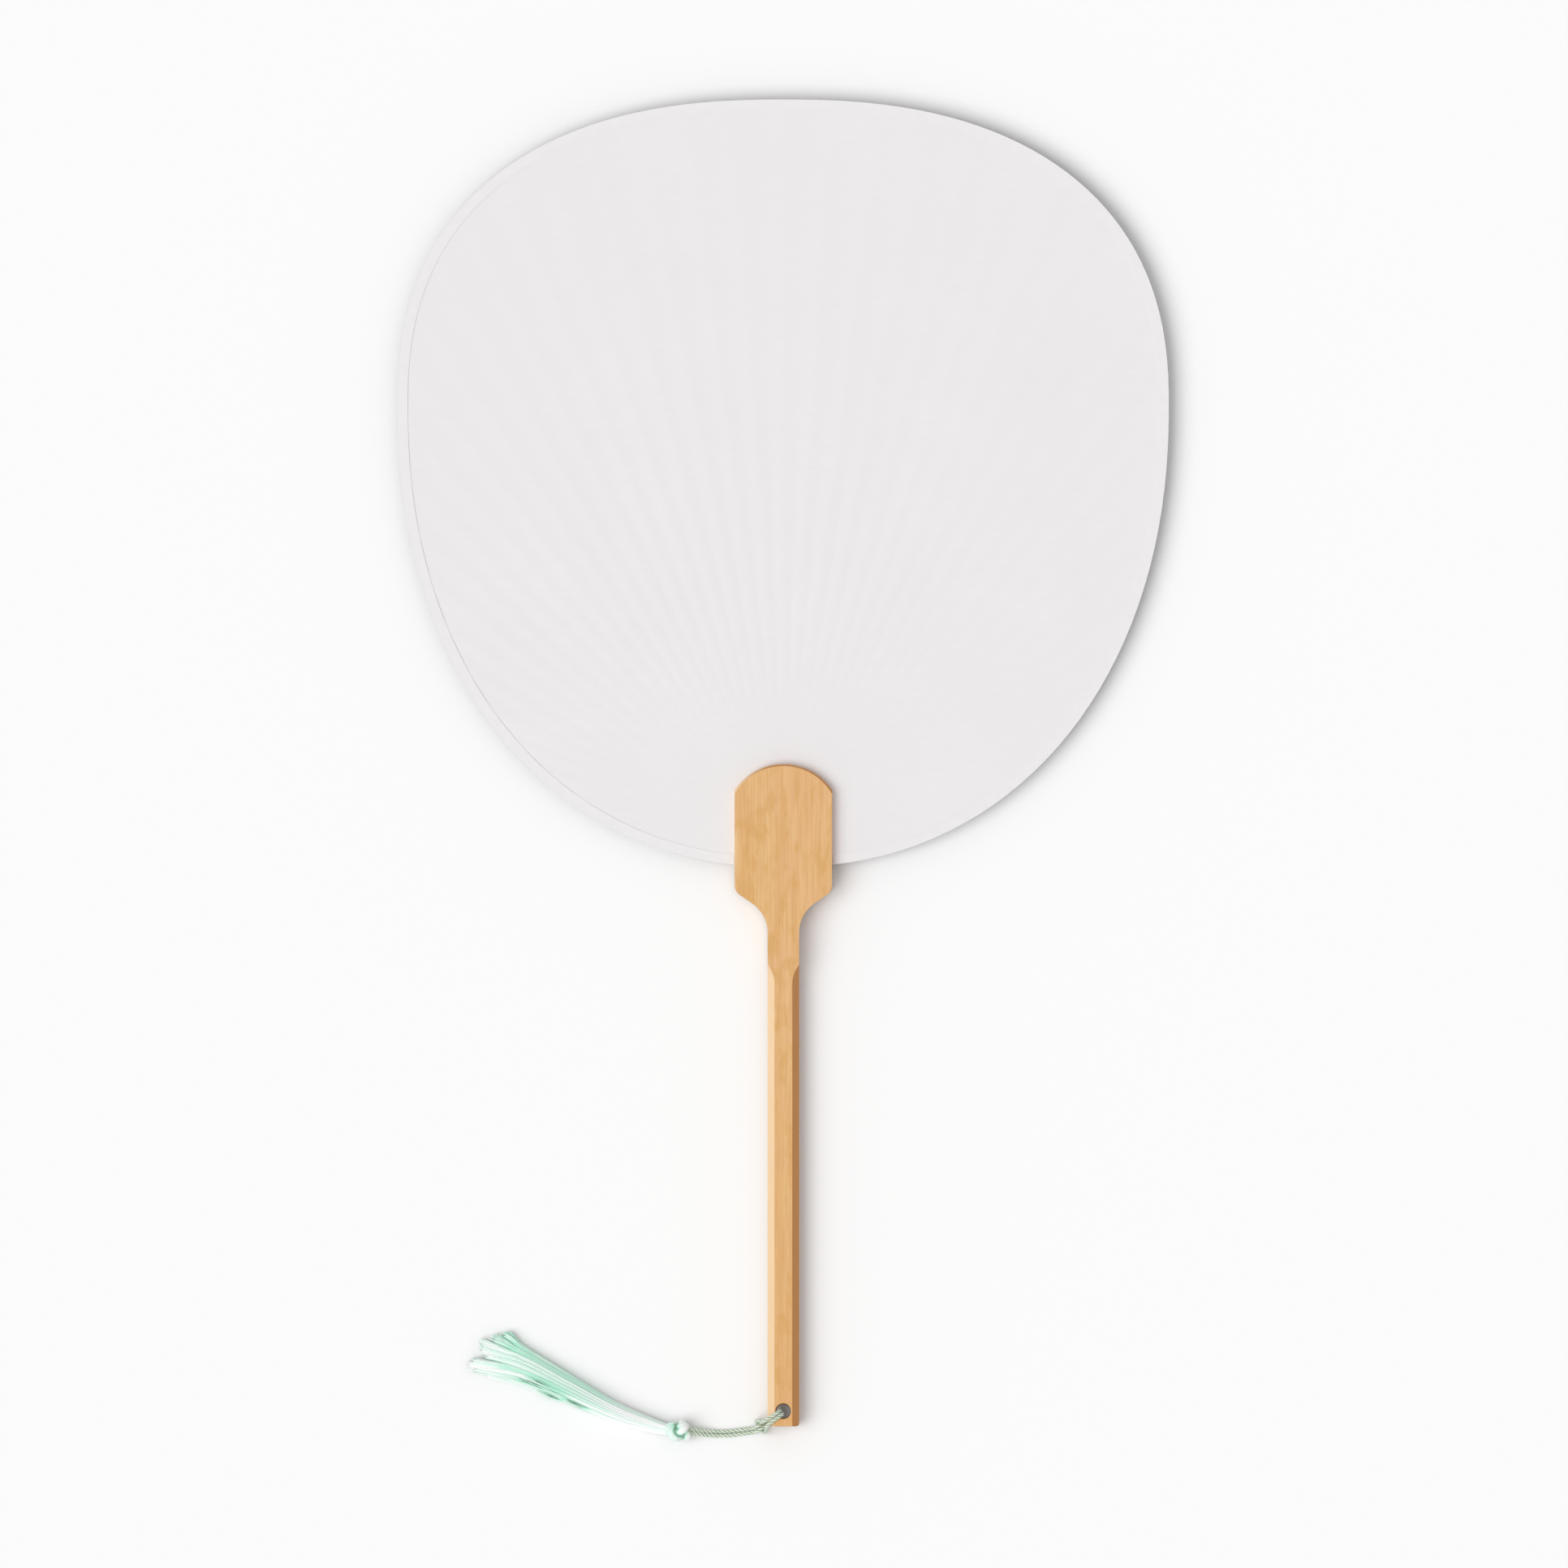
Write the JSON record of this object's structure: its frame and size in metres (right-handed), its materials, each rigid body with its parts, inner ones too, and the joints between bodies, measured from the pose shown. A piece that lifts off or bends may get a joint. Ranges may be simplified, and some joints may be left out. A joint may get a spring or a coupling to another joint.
{
  "type": "uchiwa fan",
  "caption": "Round uchiwa hand fan: plain paper leaf on split bamboo ribs, slotted flat bamboo handle, doubled cord hitched through its end, and a pale green silk tassel.",
  "frame": {"origin": "middle of the fan's bounding box without its cord and tassel, in the middle of the leaf's thickness", "axes": "+Y along the handle to the top of the leaf, +Z out of the leaf's front face, +X to the right seen from the front; the fan lies on its back"},
  "size_m": [0.2374, 0.414, 0.0098],
  "materials": {
    "bamboo": "satin varnish over straight grain",
    "rib_bamboo": "bare split bamboo",
    "leaf_paper": "matt plain paper",
    "binding_paper": "matt paper strip",
    "cord": "twisted silky cord",
    "tassel_silk": "glossy silky threads"
  },
  "bodies": {
    "fan": {"handle": "bamboo", "front_paper": "leaf_paper", "back_paper": "leaf_paper", "edge_binding": "binding_paper", "rib_01": "rib_bamboo", "rib_02": "rib_bamboo", "rib_03": "rib_bamboo", "rib_04": "rib_bamboo", "rib_05": "rib_bamboo", "rib_06": "rib_bamboo", "rib_07": "rib_bamboo", "rib_08": "rib_bamboo", "rib_09": "rib_bamboo", "rib_10": "rib_bamboo", "rib_11": "rib_bamboo", "rib_12": "rib_bamboo", "rib_13": "rib_bamboo", "rib_14": "rib_bamboo", "rib_15": "rib_bamboo", "rib_16": "rib_bamboo", "rib_17": "rib_bamboo", "rib_18": "rib_bamboo", "rib_19": "rib_bamboo", "rib_20": "rib_bamboo", "rib_21": "rib_bamboo", "rib_22": "rib_bamboo", "rib_23": "rib_bamboo", "rib_24": "rib_bamboo", "rib_25": "rib_bamboo", "rib_26": "rib_bamboo", "rib_27": "rib_bamboo", "rib_28": "rib_bamboo", "rib_29": "rib_bamboo", "rib_30": "rib_bamboo", "rib_31": "rib_bamboo", "rib_32": "rib_bamboo", "rib_33": "rib_bamboo", "rib_34": "rib_bamboo", "rib_35": "rib_bamboo", "rib_36": "rib_bamboo", "rib_37": "rib_bamboo", "rib_38": "rib_bamboo", "rib_39": "rib_bamboo", "rib_40": "rib_bamboo", "rib_41": "rib_bamboo"},
    "loop": {"cord_loop": "cord"},
    "cord": {"cord_leg_1": "cord", "cord_leg_2": "cord"},
    "tassel": {"tassel_knot": "tassel_silk", "tassel_skirt": "tassel_silk"}
  },
  "joints": [
    {"name": "loop_swivel", "type": "hinge", "parent": "fan", "child": "loop", "pos_m": [0, -0.19967, 0], "axis": [0, 0, 1], "range_deg": [-45, 150]},
    {"name": "cord_lift", "type": "hinge", "parent": "loop", "child": "cord", "pos_m": [-0.01229, -0.206, -0.0037], "axis": [-0.1736, 0.9848, 0], "range_deg": [0, 90]},
    {"name": "tassel_bend", "type": "hinge", "parent": "cord", "child": "tassel", "pos_m": [-0.03215, -0.206, -0.0016], "axis": [0, 0, 1], "range_deg": [-30, 60]}
  ]
}
